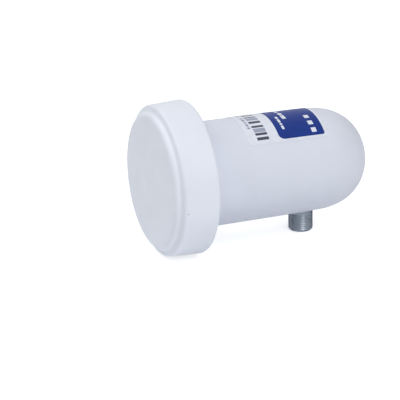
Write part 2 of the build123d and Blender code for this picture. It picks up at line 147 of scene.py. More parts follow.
class CapSettings(bpy.types.PropertyGroup):
    """Sizes and finish of the front cap"""
    overhang: size("Overhang", "How far the skirt's rim stands out over the clamp seat", 9.2 * MM)
    draft: size("Draft", "How much the skirt narrows towards the front", 0.7 * MM)
    wall: size("Wall", "Wall thickness", 1.6 * MM)
    window_height: size("Window height", "How far the round window stands out in front", 2.8 * MM)
    window_edge: size("Window edge", "Rounding of the window's edge", 2.1 * MM)
    window_draft: size("Window draft", "How much the window narrows towards the front", 0.8 * MM)
    shoulder: size("Shoulder", "Ring between the crease and the skirt's front edge", 0.9 * MM)
    shoulder_slope: size("Shoulder slope", "How far that ring falls back from the crease", 0.8 * MM)
    front_edge: size("Front edge", "Rounding of the skirt's front edge", 1.5 * MM)
    rear_edge: size("Rear edge", "Rounding of the skirt's rear edge", 1.2 * MM)
    crease_rounding: size("Crease rounding", "Softness of the crease round the window", 1.4 * MM)
    gate_radius: size("Gate radius", "Radius of the moulding gate's dimple", 1.3 * MM)
    gate_depth: size("Gate depth", "Depth of the moulding gate's dimple", 0.15 * MM)
    bead_length: size("Bead length", "Length of the catch bead inside the rim", 1.1 * MM)
    bead_land: size("Bead land", "Flat length of the catch bead", 0.3 * MM)
    bead_depth: size("Bead depth", "Height of the catch bead", 0.5 * MM)
    inner_rounding: size("Inner rounding", "Softness of the inner corners", 0.5 * MM)
    shade: colour("Colour", "Colour of the cap's plastic", srgb(226, 231, 241))
    roughness: share("Roughness", "Roughness of the cap's plastic", 0.46)
    speck_radius: size("Speck radius", "Size of the dark speck on the skirt", 0.24 * MM)
    speck_x: size("Speck place", "Place of the dark speck along the axis", -32.1 * MM)
    speck_turn: turn("Speck turn", "Angle of the dark speck from the top", 99.8)
    speck_shade: colour("Speck colour", "Colour of the dark speck", srgb(120, 118, 128))
    speck_strength: share("Speck strength", "How far the dark speck covers the plastic", 0.55)


class HousingSettings(bpy.types.PropertyGroup):
    """Sizes and finish of the housing"""
    wall: size("Wall", "Wall thickness", 2.4 * MM)
    flange_thickness: size("Flange thickness", "Thickness of the flange inside the cap", 2.2 * MM)
    flange_fillet: size("Flange fillet", "Rounding between flange and neck", 0.8 * MM)
    neck_draft: size("Neck draft", "How much the neck narrows from the clamp seat to the flange", 0.15 * MM)
    draft: size("Draft", "How much the body narrows behind the clamp seat", 0.25 * MM)
    dome_length: size("Dome length", "Length of the domed end", 20.8 * MM)
    dome_fullness: share("Dome fullness", "How far the dome's curve bulges", 0.61)
    pad_radius: size("Pad radius", "Radius of the boss inside the wall over the connector", 8.0 * MM)
    pad_height: size("Pad height", "How far that boss stands into the housing", 0.4 * MM)
    pad_root: size("Pad root", "How deep that boss sits in the wall", 0.5 * MM)
    hole_clearance: size("Hole clearance", "Gap round the connector's stem", 0.15 * MM)
    shade: colour("Colour", "Colour of the housing's plastic", srgb(216, 221, 233))
    roughness: share("Roughness", "Roughness of the housing's plastic", 0.5)


class LabelSettings(bpy.types.PropertyGroup):
    """Sizes and colours of the label and its print"""
    glue: size("Glue", "Thickness of the glue under the film", 0.02 * MM)
    thickness: size("Thickness", "Thickness of the film", 0.1 * MM)
    half_angle: turn("Half angle", "How far the film wraps down each side from the top", 49.0)
    corner: size("Corner", "Corner radius of the film", 0.9 * MM)
    ink: size("Ink", "Thickness of the print", 0.012 * MM)
    field_front: size("Field front", "Front edge of the blue field", 10.9 * MM)
    field_rear: size("Field rear", "Rear edge of the blue field", 29.75 * MM)
    field_half_angle: turn("Field half angle", "How far the blue field wraps down each side", 46.0)
    field_front_corner: size("Field front corner", "Radius of the blue field's front corners", 2.2 * MM)
    field_rear_corner: size("Field rear corner", "Radius of the blue field's rear corners", 0.9 * MM)
    dash_corner: size("Dash corner", "Corner radius of the bars and dashes", 0.15 * MM)
    film_shade: colour("Film colour", "Colour of the film", srgb(221, 226, 237))
    field_shade: colour("Field colour", "Colour of the blue field", srgb(30, 55, 131))
    bar_shade: colour("Bar colour", "Colour of the dark bars", srgb(78, 80, 96))
    pale_shade: colour("Pale bar colour", "Colour of the pale bars and dashes", srgb(156, 163, 182))
    roughness: share("Roughness", "Roughness of the film and its print", 0.38)


class ConnectorSettings(bpy.types.PropertyGroup):
    """Sizes and plating of the connector"""
    pitch: size("Thread pitch", "Distance between two threads, 32 to the inch", INCH / 32)
    thread_depth: size("Thread depth", "Depth of the thread", 0.18 * MM)
    thread_relief: size("Thread relief", "How much thinner the plain stem is than the thread", 0.16 * MM)
    thread_gap: size("Thread gap", "Plain length between the housing and the thread", 0.4 * MM)
    tip_chamfer: size("Tip chamfer", "Chamfer at the tip", 0.7 * MM)
    stem_passage: size("Stem passage", "Radius of the opening at the barrel's inner end", 2.2 * MM)
    insulator_radius: size("Insulator radius", "Radius of the insulator", 3.3 * MM)
    insulator_clearance: size("Insulator clearance", "Gap round the insulator", 0.05 * MM)
    entry_radius: size("Entry radius", "Radius of the hole in the insulator's face", 0.75 * MM)
    entry_chamfer: size("Entry chamfer", "Lead-in of the hole in the insulator's face", 0.4 * MM)
    contact_radius: size("Contact radius", "Radius of the spring tube", 0.95 * MM)
    contact_clearance: size("Contact clearance", "Gap round the spring tube", 0.05 * MM)
    contact_stem: size("Contact stem", "Radius of the contact's stem", 0.6 * MM)
    plating_shade: colour("Plating colour", "Colour of the plating", srgb(132, 140, 150))
    edge_shade: colour("Edge colour", "Tint of the plating where it turns away", (0.1, 0.1, 0.1))
    roughness: share("Roughness", "Roughness of the plating", 0.26)


class StageSettings(bpy.types.PropertyGroup):
    """Floor, light and camera of the studio"""
    floor_radius: size("Floor radius", "Radius of the round floor", 0.6)
    floor_shade: colour("Floor colour", "Colour of the floor", (0.92, 0.93, 0.95))
    floor_lift: share("Floor lift", "White added to the floor where it is seen directly", 0.6)
    ambient_shade: colour("Ambient colour", "Colour of the light from all round", WHITE)
    ambient: share("Ambient", "Strength of the light from all round", 0.3)
    crown_power: power("Crown lamp", "Power of the lamp above the cap, behind it", 0.96)
    front_power: power("Front lamp", "Power of the lamp above the camera's side", 1.29)
    low_power: power("Low lamp", "Power of the low lamp on the camera's side", 2.2)
    crown_width: size("Crown lamp width", "Width of the lamp above the cap", 0.32)
    front_width: size("Front lamp width", "Width of the lamp above the camera's side", 0.4)
    low_width: size("Low lamp width", "Width of the low lamp", 0.3)
    azimuth: turn("Azimuth", "Camera angle round the object", -22.52)
    elevation: turn("Elevation", "Camera angle over the horizon", 17.94)
    roll: turn("Roll", "Camera roll", -1.24)
    distance: size("Distance", "Camera distance from its aim", 0.6)
    lens: FloatProperty(name="Lens", description="Focal length of the lens", default=144, unit="CAMERA")


# Outlines and meshes

def rounded_outline(corners):
    """Outline through corners (along, out, rounding), with an arc at each corner that has a rounding."""
    points = []
    for index, (along, out, rounding) in enumerate(corners):
        corner = Vector((along, out))
        if not rounding:
            points.append(corner)
            continue
        before = (Vector(corners[index - 1][:2]) - corner).normalized()
        after = (Vector(corners[(index + 1) % len(corners)][:2]) - corner).normalized()
        half = before.angle(after) / 2
        centre = corner + (before + after).normalized() * rounding / math.sin(half)
        spoke = corner + before * rounding / math.tan(half) - centre
        swing = -spoke.angle_signed(corner + after * rounding / math.tan(half) - centre)
        steps = max(LEAST_ARC_STEPS, math.ceil(abs(swing) / ARC_STEP))
        for step in range(steps + 1):
            points.append(centre + Matrix.Rotation(swing * step / steps, 2) @ spoke)
    return points


def lathe(points, centre, axis, segments, closed=False):
    """Bmesh of a profile, given as points in space, turned round an axis."""
    bm = bmesh.new()
    verts = [bm.verts.new(point) for point in points]
    edges = [bm.edges.new(pair) for pair in zip(verts, verts[1:])]
    if closed:
        edges.append(bm.edges.new((verts[-1], verts[0])))
    bmesh.ops.spin(
        bm, geom=verts + edges, cent=centre, axis=axis, angle=math.tau, steps=segments, use_merge=True
    )
    bmesh.ops.remove_doubles(bm, verts=bm.verts, dist=WELD)
    bmesh.ops.recalc_face_normals(bm, faces=bm.faces)
    return bm


def lathe_on_body(outline):
    """Solid turned round the body's own axis from points (x, radius)."""
    points = [Vector((x, 0, radius)) for x, radius in outline]
    return lathe(points, Vector(), Vector((1, 0, 0)), RING_SEGMENTS)


def lathe_on_connector(outline, closed=False):
    """Solid turned round the connector's axis from points (radius, z)."""
    points = [Vector((CONNECTOR_X + radius, 0, z)) for radius, z in outline]
    return lathe(points, Vector((CONNECTOR_X, 0, 0)), Vector((0, 0, 1)), SMALL_RING_SEGMENTS, closed)


def cylinder_on_connector(radius, bottom, top):
    """Plain cylinder on the connector's axis, between two heights."""
    return lathe_on_connector([(0, top), (radius, top), (radius, bottom), (0, bottom)])


def add_object(bm, name):
    """Smooth-shaded object made from a bmesh, which it frees."""
    for face in bm.faces:
        face.smooth = True
    mesh = bpy.data.meshes.new(name)
    bm.to_mesh(mesh)
    bm.free()
    mesh.set_sharp_from_angle(angle=SHARP_ANGLE)
    piece = bpy.data.objects.new(name, mesh)
    bpy.context.scene.collection.objects.link(piece)
    return piece


def dress(piece, material, slot, *nodes):
    """Give a piece its material and the body it rides on, and hide the nodes that it stands for; the slot
    is not used.
    """
    piece.data.materials.append(material)
    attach(piece, BODY)
    if nodes:
        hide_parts(*nodes)


def combine(piece, tool_bm, operation):
    """Join a tool solid to a piece, or cut it away."""
    tool = add_object(tool_bm, "tool")
    modifier = piece.modifiers.new(operation.title(), "BOOLEAN")
    modifier.operation = operation
    modifier.solver = "EXACT"
    modifier.object = tool
    depsgraph = bpy.context.evaluated_depsgraph_get()
    shaped = bpy.data.meshes.new_from_object(piece.evaluated_get(depsgraph))
    welded = bmesh.new()
    welded.from_mesh(shaped)
    bmesh.ops.remove_doubles(welded, verts=welded.verts, dist=WELD)
    welded.to_mesh(shaped)
    welded.free()
    piece.modifiers.clear()
    plain = piece.data
    piece.data = shaped
    shaped.name = plain.name
    shaped.set_sharp_from_angle(angle=SHARP_ANGLE)
    tool_mesh = tool.data
    bpy.data.objects.remove(tool)
    bpy.data.meshes.remove(tool_mesh)
    bpy.data.meshes.remove(plain)


def body_radius(x):
    """Outer radius of the body at x, on the clamp seat or on the drafted barrel behind it."""
    housing = bpy.context.scene.lnb_housing
    barrel_rear = SHELL_HIGH.x - housing.dome_length
    drafted = max(0, x - SEAT_REAR) / (barrel_rear - SEAT_REAR)
    return SEAT_RADIUS - housing.draft * drafted


def corner_columns(corner):
    """Distances from a patch's end at which its rounded corner is drawn."""
    quarter = math.pi / 2
    return [corner * (1 - math.cos(step * quarter / CORNER_STEPS)) for step in range(CORNER_STEPS + 1)]


def corner_inset(distance, corner):
    """How far a rounded corner pulls a patch's side in, at a distance from its end."""
    edge = max(0, corner - distance)
    return corner - math.sqrt(max(0, corner**2 - edge**2))


def wrap_patch(bm, front, rear, first_angle, last_angle, corners, lift, thickness):
    """Thin closed patch wrapped on the body: angles from the top, corner radii for front and rear."""
    front_corner, rear_corner = corners
    columns = {front + step for step in corner_columns(front_corner)}
    columns |= {rear - step for step in corner_columns(rear_corner)}
    # One more column where the body's draft starts, so that the patch follows it
    if front < SEAT_REAR < rear:
        columns.add(SEAT_REAR)
    columns = sorted(columns)
    rows = max(LEAST_WRAP_ROWS, math.ceil((last_angle - first_angle) / WRAP_STEP))
    layers = []
    for height in (lift, lift + thickness):
        layer = []
        for x in columns:
            radius = body_radius(x) + height
            inset = max(corner_inset(x - front, front_corner), corner_inset(rear - x, rear_corner))
            low, high = first_angle + inset / radius, last_angle - inset / radius
            angles = [low + (high - low) * row / rows for row in range(rows + 1)]
            layer.append([bm.verts.new((x, -radius * math.sin(a), radius * math.cos(a))) for a in angles])
        layers.append(layer)
    bottom, top = layers
    last = len(columns) - 1
    for column in range(last):
        for row in range(rows):
            for layer in layers:
                near, far = layer[column], layer[column + 1]
                bm.faces.new((near[row], near[row + 1], far[row + 1], far[row]))
        for row in (0, rows):
            near_low, near_high = bottom[column][row], top[column][row]
            far_low, far_high = bottom[column + 1][row], top[column + 1][row]
            bm.faces.new((near_low, near_high, far_high, far_low))
    for row in range(rows):
        for column in (0, last):
            low, high = bottom[column], top[column]
            bm.faces.new((low[row], low[row + 1], high[row + 1], high[row]))
    bmesh.ops.recalc_face_normals(bm, faces=bm.faces)


# Materials

Finish = namedtuple("Finish", ("material", "tree", "shader", "place"))


def new_finish(name):
    """New material, with its node tree, its shader and the object coordinates that its patterns follow."""
    material = bpy.data.materials.new(name)
    material.use_nodes = True
    tree = material.node_tree
    tree.nodes.clear()
    shader = tree.nodes.new("ShaderNodeBsdfPrincipled")
    output = tree.nodes.new("ShaderNodeOutputMaterial")
    tree.links.new(shader.outputs["BSDF"], output.inputs["Surface"])
    return Finish(material, tree, shader, tree.nodes.new("ShaderNodeTexCoord").outputs["Object"])


def add_noise(finish, scale, detail):
    """Noise over the object, scale in waves per metre."""
    noise = finish.tree.nodes.new("ShaderNodeTexNoise")
    noise.inputs["Scale"].default_value = scale
    noise.inputs["Detail"].default_value = detail
    finish.tree.links.new(finish.place, noise.inputs["Vector"])
    return noise.outputs["Fac"]


def add_range(finish, source, low, high, from_low=NOISE_LOW, from_high=NOISE_HIGH):
    """Values of a socket, such as a noise, mapped to a range."""
    mapped = finish.tree.nodes.new("ShaderNodeMapRange")
    limits = {"From Min": from_low, "From Max": from_high, "To Min": low, "To Max": high}
    for socket, value in limits.items():
        mapped.inputs[socket].default_value = value
    finish.tree.links.new(source, mapped.inputs["Value"])
    return mapped.outputs["Result"]


def add_mix(finish, factor, first, second):
    """Mix of two colours, each a colour or a socket."""
    mix = finish.tree.nodes.new("ShaderNodeMix")
    mix.data_type = "RGBA"
    finish.tree.links.new(factor, mix.inputs["Factor"])
    for socket, value in ((mix.inputs[MIX_FIRST], first), (mix.inputs[MIX_SECOND], second)):
        if isinstance(value, bpy.types.NodeSocket):
            finish.tree.links.new(value, socket)
        else:
            socket.default_value = (*value, 1)
    return mix.outputs[MIX_RESULT]


def tinted(shade, factor):
    """A colour made darker or lighter."""
    return tuple(min(1, level * factor) for level in shade)


def add_tone(finish, shade, scale, detail, dark, light):
    """Cloudy colour between a darker and a lighter tint of a shade."""
    clouds = add_range(finish, add_noise(finish, scale, detail), 0, 1)
    tone = add_mix(finish, clouds, tinted(shade, dark), tinted(shade, light))
    finish.tree.links.new(tone, finish.shader.inputs["Base Color"])
    return tone


def add_gloss(finish, roughness, scale, detail, smoother, rougher):
    """Uneven gloss, from a little smoother to a little rougher than the roughness."""
    smears = add_noise(finish, scale, detail)
    spread = add_range(finish, smears, roughness - smoother, roughness + rougher)
    finish.tree.links.new(spread, finish.shader.inputs["Roughness"])


def add_relief(finish, scale, depth, strength):
    """Fine bump of a real depth in metres."""
    bump = finish.tree.nodes.new("ShaderNodeBump")
    bump.inputs["Distance"].default_value = depth
    bump.inputs["Strength"].default_value = strength
    finish.tree.links.new(add_noise(finish, scale, RELIEF_DETAIL), bump.inputs["Height"])
    finish.tree.links.new(bump.outputs["Normal"], finish.shader.inputs["Normal"])


def moulded_plastic(name, shade, roughness):
    """Satin white plastic with a fine moulded grain and a faint cloudiness, and the socket of its tone."""
    finish = new_finish(name)
    tone = add_tone(finish, shade, scale=60, detail=3, dark=0.975, light=1.02)
    add_gloss(finish, roughness, scale=260, detail=4, smoother=0.05, rougher=0.06)
    add_relief(finish, scale=5200, depth=0.02 * MM, strength=0.25)
    finish.shader.inputs["IOR"].default_value = 1.47
    finish.shader.inputs["Specular IOR Level"].default_value = 0.25
    return finish, tone


def cap_plastic(cap):
    """Cap plastic with one small dark speck."""
    finish, tone = moulded_plastic("cap_plastic", cap.shade, cap.roughness)
    radius = CAP_HIGH.z - cap.draft / 2
    speck = finish.tree.nodes.new("ShaderNodeVectorMath")
    speck.operation = "DISTANCE"
    finish.tree.links.new(finish.place, speck.inputs[0])
    speck.inputs[1].default_value = (
        cap.speck_x, -radius * math.sin(cap.speck_turn), radius * math.cos(cap.speck_turn)
    )
    distance = speck.outputs["Value"]
    blurred_radius = 2 * cap.speck_radius
    spot = add_range(finish, distance, cap.speck_strength, 0, cap.speck_radius, blurred_radius)
    spotted = add_mix(finish, spot, tone, cap.speck_shade)
    finish.tree.links.new(spotted, finish.shader.inputs["Base Color"])
    return finish.material


def printed_film(name, shade, roughness):
    """Glossy printed film with a faintly uneven tone."""
    finish = new_finish(name)
    add_tone(finish, shade, scale=380, detail=4, dark=0.95, light=1.05)
    add_gloss(finish, roughness, scale=150, detail=3, smoother=0.05, rougher=0.07)
    add_relief(finish, scale=1800, depth=0.01 * MM, strength=0.15)
    finish.shader.inputs["Specular IOR Level"].default_value = 0.12
    return finish.material


def plated_metal(name, shade, edge_shade, roughness):
    """Dull plated metal with a mottled tone that dims where it turns away."""
    finish = new_finish(name)
    add_tone(finish, shade, scale=900, detail=5, dark=0.82, light=1.1)
    add_gloss(finish, roughness, scale=2200, detail=3, smoother=0.08, rougher=0.12)
    add_relief(finish, scale=6000, depth=0.01 * MM, strength=0.3)
    finish.shader.inputs["Metallic"].default_value = 1
    finish.shader.inputs["Specular Tint"].default_value = (*edge_shade, 1)
    return finish.material


def plain_finish(name, shade, contrast, scale, roughness, metallic, relief):
    """Finish of an inner piece: mottled tone, uneven gloss and a fine relief."""
    finish = new_finish(name)
    add_tone(finish, shade, scale=scale, detail=4, dark=1 - contrast, light=1 + contrast)
    add_gloss(finish, roughness, scale=2 * scale, detail=3, smoother=0.08, rougher=0.08)
    add_relief(finish, scale=4 * scale, depth=relief, strength=0.4)
    finish.shader.inputs["Metallic"].default_value = metallic
    return finish.material


# Finishes of the inner pieces: shade, contrast, waves per metre, roughness, metallic, depth of the relief
INNER_FINISHES = {
    "cast_metal": (srgb(172, 174, 178), 0.1, 900, 0.5, 1, 0.03 * MM),
    "screw_steel": (srgb(160, 162, 166), 0.08, 1500, 0.35, 1, 0.01 * MM),
    "board_laminate": (srgb(28, 84, 50), 0.12, 700, 0.4, 0, 0.01 * MM),
    "puck_ceramic": (srgb(188, 168, 140), 0.06, 2500, 0.75, 0, 0.02 * MM),
    "absorber_rubber": (srgb(42, 42, 44), 0.2, 1200, 0.85, 0, 0.05 * MM),
    "chip_black": (srgb(26, 26, 28), 0.15, 3000, 0.55, 0, 0.01 * MM),
    "chip_ceramic": (srgb(154, 128, 98), 0.08, 3000, 0.6, 0, 0.01 * MM),
    "seal_rubber": (srgb(140, 143, 148), 0.08, 1500, 0.7, 0, 0.02 * MM),
    "contact_metal": (srgb(206, 170, 100), 0.08, 1500, 0.25, 1, 0.005 * MM),
    "insulator_plastic": (srgb(230, 228, 218), 0.03, 900, 0.5, 0, 0.01 * MM),
}


# Pieces

class LNB_OT_front_cap(bpy.types.Operator):
    """Build the front cap: round window, soft crease, sloping skirt and the catch bead inside its rim"""
    bl_idname = "lnb.front_cap"
    bl_label = "Front Cap"

    def execute(self, context):
        cap = context.scene.lnb_cap
        front_x, rim_x = CAP_LOW.x, CAP_HIGH.x
        shoulder_x = front_x + cap.window_height
        rear_radius = SEAT_RADIUS + cap.overhang
        front_radius = rear_radius - cap.draft
        crease_radius = front_radius - cap.front_edge - cap.shoulder
        window_radius = crease_radius - cap.window_draft
        bead_x = rim_x - cap.bead_length
        flange_radius = SHELL_HIGH.y
        bead_radius = flange_radius - cap.bead_depth
        inner_x = shoulder_x + cap.wall
        slope = cap.draft / (rim_x - shoulder_x)
        corners = [
            (front_x + cap.gate_depth, 0, 0),
            (front_x + cap.gate_depth, cap.gate_radius - cap.gate_depth, cap.gate_depth / 2),
            (front_x, cap.gate_radius, cap.gate_depth / 2),
            (front_x, window_radius, cap.window_edge),
            (shoulder_x - cap.shoulder_slope, crease_radius, cap.crease_rounding),
            (shoulder_x, front_radius, cap.front_edge),
            (rim_x, rear_radius, cap.rear_edge),
            (rim_x, flange_radius, 0),
            (bead_x + cap.bead_land, bead_radius, 0),
            (bead_x, bead_radius, 0),
            (bead_x, rear_radius - slope * (rim_x - bead_x) - cap.wall, 0),
            (inner_x, rear_radius - slope * (rim_x - inner_x) - cap.wall, cap.inner_rounding),
            (inner_x, crease_radius - cap.wall, cap.inner_rounding),
            (front_x + cap.wall, window_radius - cap.wall, cap.inner_rounding),
            (front_x + cap.wall, 0, 0),
        ]
        piece = add_object(lathe_on_body(rounded_outline(corners)), "front_cap_moulding")
        dress(piece, cap_plastic(cap), "cap_plastic", "front_cap")
        return {"FINISHED"}


def dome_curve(foot_x, apex_x, radius, fullness):
    """Half outline of a dome, from its foot to its apex on the axis."""
    return interpolate_bezier(
        Vector((foot_x, radius)),
        Vector((foot_x + fullness * (apex_x - foot_x), radius)),
        Vector((apex_x, fullness * radius)),
        Vector((apex_x, 0)),
        DOME_STEPS,
    )


class LNB_OT_housing(bpy.types.Operator):
    """Build the housing: flange, neck, clamp seat, body and dome, with the connector's boss and hole"""
    bl_idname = "lnb.housing"
    bl_label = "Housing"

    def execute(self, context):
        housing = context.scene.lnb_housing
        connector = context.scene.lnb_connector
        apex_x = SHELL_HIGH.x
        barrel_rear = apex_x - housing.dome_length
        barrel_radius = SEAT_RADIUS - housing.draft
        inner_radius = SEAT_RADIUS - housing.wall
        flange_front = SHELL_LOW.x
        flange_rear = flange_front + housing.flange_thickness
        outer = rounded_outline([
            (flange_front, inner_radius, 0),
            (flange_front, SHELL_HIGH.y, 0),
            (flange_rear, SHELL_HIGH.y, 0),
            (flange_rear, SEAT_RADIUS - housing.neck_draft, housing.flange_fillet),
            (SEAT_FRONT, SEAT_RADIUS, 0),
            (SEAT_REAR, SEAT_RADIUS, 0),
            (barrel_rear, barrel_radius, 0),
        ])
        dome = dome_curve(barrel_rear, apex_x, barrel_radius, housing.dome_fullness)
        ceiling = dome_curve(barrel_rear, apex_x - housing.wall, inner_radius, housing.dome_fullness)
        # The outline leaves the axis at the dome and meets it again inside, so the turned solid is closed
        outline = [*reversed(dome), *reversed(outer[:-1]), *ceiling]
        piece = add_object(lathe_on_body(outline), "housing_moulding")
        pad_top = housing.pad_height - math.sqrt(inner_radius**2 - housing.pad_radius**2)
        pad_bottom = -inner_radius - housing.pad_root
        combine(piece, cylinder_on_connector(housing.pad_radius, pad_bottom, pad_top), "UNION")
        hole_radius = THREAD_RADIUS - connector.thread_relief + housing.hole_clearance
        hole_top = pad_top + housing.wall
        hole_bottom = -SEAT_RADIUS - housing.wall
        combine(piece, cylinder_on_connector(hole_radius, hole_bottom, hole_top), "DIFFERENCE")
        finish, _ = moulded_plastic("housing_plastic", housing.shade, housing.roughness)
        dress(piece, finish.material, "housing_plastic", "housing")
        return {"FINISHED"}


class LNB_OT_label(bpy.types.Operator):
    """Wrap the white film over the top of the body"""
    bl_idname = "lnb.label"
    bl_label = "Label Film"

    def execute(self, context):
        label = context.scene.lnb_label
        bm = bmesh.new()
        wrap_patch(
            bm, LABEL_LOW.x, LABEL_HIGH.x, -label.half_angle, label.half_angle,
            (label.corner, label.corner), label.glue, label.thickness,
        )
        piece = add_object(bm, "label_film")
        film = printed_film("label_film", label.film_shade, label.roughness)
        dress(piece, film, "label_film", "type_label")
        return {"FINISHED"}


# Print on one half of the film, the same on the other half: front and rear edge of a column in millimetres,
# then the angles from the top, in degrees, between which each of its bars or dashes lies
DARK_PRINT = (
    (2.0, 6.8, ((2.3, 4.9), (14.3, 18.5), (22.8, 26.0), (34.2, 37.4), (40.0, 43.8))),
)
PALE_PRINT = (
    (2.0, 6.8, ((6.5, 11.9), (27.4, 33.2))),
    (0.2, 1.3, ((3.0, 6.0), (7.4, 12.5), (14.0, 16.5), (18.0, 22.5), (24.0, 27.0))),
)
WHITE_PRINT = (
    (13.5, 14.5, ((11.0, 15.5), (16.7, 23.0), (24.2, 27.0), (28.2, 33.5))),
    (16.0, 17.6, ((2.0, 7.5), (8.9, 17.0))),
    (24.8, 26.8, ((14.5, 20.5), (25.5, 31.5), (36.0, 42.0))),
)


def add_print(name, columns, lift, shade, slot):
    """Piece of print made of columns of bars or dashes."""
    label = bpy.context.scene.lnb_label
    bm = bmesh.new()
    for front, rear, dashes in columns:
        for first, last in dashes:
            for low, high in ((first, last), (-last, -first)):
                wrap_patch(
                    bm, front * MM, rear * MM, math.radians(low), math.radians(high),
                    (label.dash_corner, label.dash_corner), lift, label.ink,
                )
    dress(add_object(bm, name), printed_film(name, shade, label.roughness), slot)


class LNB_OT_label_print(bpy.types.Operator):
    """Print the label: a blue field, grey bars beside it and plain white strips on it"""
    bl_idname = "lnb.label_print"
    bl_label = "Label Print"

    def execute(self, context):
        label = context.scene.lnb_label
        film_top = label.glue + label.thickness
        field = bmesh.new()
        wrap_patch(
            field, label.field_front, label.field_rear, -label.field_half_angle, label.field_half_angle,
            (label.field_front_corner, label.field_rear_corner), film_top, label.ink,
        )
        piece = add_object(field, "label_blue_field")
        dress(piece, printed_film("label_blue", label.field_shade, label.roughness), "label_blue")
        add_print("label_grey_bars", DARK_PRINT, film_top, label.bar_shade, "label_grey")
        add_print("label_pale_bars", PALE_PRINT, film_top, label.pale_shade, "label_grey")
        add_print("label_white_strips", WHITE_PRINT, film_top + label.ink, label.film_shade, "label_film")
        return {"FINISHED"}


def cut_thread(bm, low, high, inner_limit):
    """Press a helical groove into the points outside a radius, between two heights, fading at the top."""
    connector = bpy.context.scene.lnb_connector
    for vert in bm.verts:
        offset = Vector((vert.co.x - CONNECTOR_X, vert.co.y))
        radius, z = offset.length, vert.co.z
        if radius < inner_limit or not low < z < high:
            continue
        wave = (z / connector.pitch - math.atan2(offset.y, offset.x) / math.tau) % 1
        groove = (1 + math.cos(math.tau * wave)) / 2
        fade = min(1, (high - z) / connector.pitch)
        cut = THREAD_RADIUS - connector.thread_depth * groove * fade
        if radius > cut:
            vert.co.x = CONNECTOR_X + offset.x * cut / radius
            vert.co.y = offset.y * cut / radius


class LNB_OT_connector(bpy.types.Operator):
    """Build the plated connector barrel with its helical thread"""
    bl_idname = "lnb.connector"
    bl_label = "Connector Barrel"

    def execute(self, context):
        connector = context.scene.lnb_connector
        tip_z, top_z = BARREL_LOW.z, BARREL_HIGH.z
        thread_top = -body_radius(CONNECTOR_X) - connector.thread_gap
        stem_radius = THREAD_RADIUS - connector.thread_relief
        bore_radius = connector.insulator_radius + connector.insulator_clearance
        bore_top = INSULATOR_HIGH.z + connector.insulator_clearance
        chamfer = connector.tip_chamfer
        rows = math.ceil((thread_top - tip_z) / connector.pitch * ROWS_PER_THREAD)
        outline = [(bore_radius, tip_z), (THREAD_RADIUS - chamfer, tip_z)]
        for row in range(1, rows + 1):
            z = tip_z + (thread_top - tip_z) * row / rows
            outline.append((min(THREAD_RADIUS, THREAD_RADIUS - chamfer + z - tip_z), z))
        outline += [
            (stem_radius, thread_top), (stem_radius, top_z), (connector.stem_passage, top_z),
            (connector.stem_passage, bore_top), (bore_radius, bore_top),
        ]
        bm = lathe_on_connector(outline, closed=True)
        cut_thread(bm, tip_z, thread_top, stem_radius - chamfer)
        piece = add_object(bm, "connector_barrel")
        material = plated_metal(
            "plated_metal", connector.plating_shade, connector.edge_shade, connector.roughness
        )
        dress(piece, material, "plated_metal", "connector_body")
        return {"FINISHED"}


class LNB_OT_connector_core(bpy.types.Operator):
    """Build the connector's insulator and its spring contact"""
    bl_idname = "lnb.connector_core"
    bl_label = "Connector Core"

    def execute(self, context):
        connector = context.scene.lnb_connector
        face_z, top_z = INSULATOR_LOW.z, INSULATOR_HIGH.z
        tube_z = CONTACT_LOW.z
        bore = connector.contact_radius + connector.contact_clearance
        insulator = [
            (connector.entry_radius + connector.entry_chamfer, face_z),
            (connector.insulator_radius, face_z),
            (connector.insulator_radius, top_z),
            (bore, top_z),
            (bore, tube_z),
            (connector.entry_radius, tube_z),
            (connector.entry_radius, face_z + connector.entry_chamfer),
        ]
        piece = add_object(lathe_on_connector(insulator, closed=True), "connector_core")
        white = plain_finish("insulator_white", *INNER_FINISHES["insulator_plastic"])
        dress(piece, white, "insulator_plastic", "connector_insulator")
        contact = [
            (0, CONTACT_HIGH.z),
            (connector.contact_stem, CONTACT_HIGH.z),
            (connector.contact_stem, top_z),
            (connector.contact_radius, top_z),
            (connector.contact_radius, tube_z),
            (SOCKET_RADIUS, tube_z),
            (SOCKET_RADIUS, tube_z + SOCKET_DEPTH),
            (0, tube_z + SOCKET_DEPTH),
        ]
        piece = add_object(lathe_on_connector(contact), "spring_contact")
        bright = plain_finish("contact_bright", *INNER_FINISHES["contact_metal"])
        dress(piece, bright, "contact_metal", "centre_contact")
        return {"FINISHED"}


class LNB_OT_inner_pieces(bpy.types.Operator):
    """Give the sealed inner pieces their finishes"""
    bl_idname = "lnb.inner_pieces"
    bl_label = "Inner Pieces"

    def execute(self, context):
        finishes = {slot: plain_finish(slot, *values) for slot, values in INNER_FINISHES.items()}
        for part in frame["record"]["subparts"]:
            node = frame["nodes"][part["node"]]
            if node.hide_render:
                continue
            for slot in node.material_slots:
                slot.material = finishes[part["material_slot"]]
        return {"FINISHED"}


# Stage

def seen_directly(tree):
    """Socket that is 1 for rays that show the background: camera, mirror and see-through rays."""
    path = tree.nodes.new("ShaderNodeLightPath")
    seen = path.outputs["Is Camera Ray"]
    for name in ("Is Glossy Ray", "Is Transmission Ray"):
        either = tree.nodes.new("ShaderNodeMath")
        either.operation = "MAXIMUM"
        tree.links.new(seen, either.inputs[0])
        tree.links.new(path.outputs[name], either.inputs[1])
        seen = either.outputs[0]
    return seen


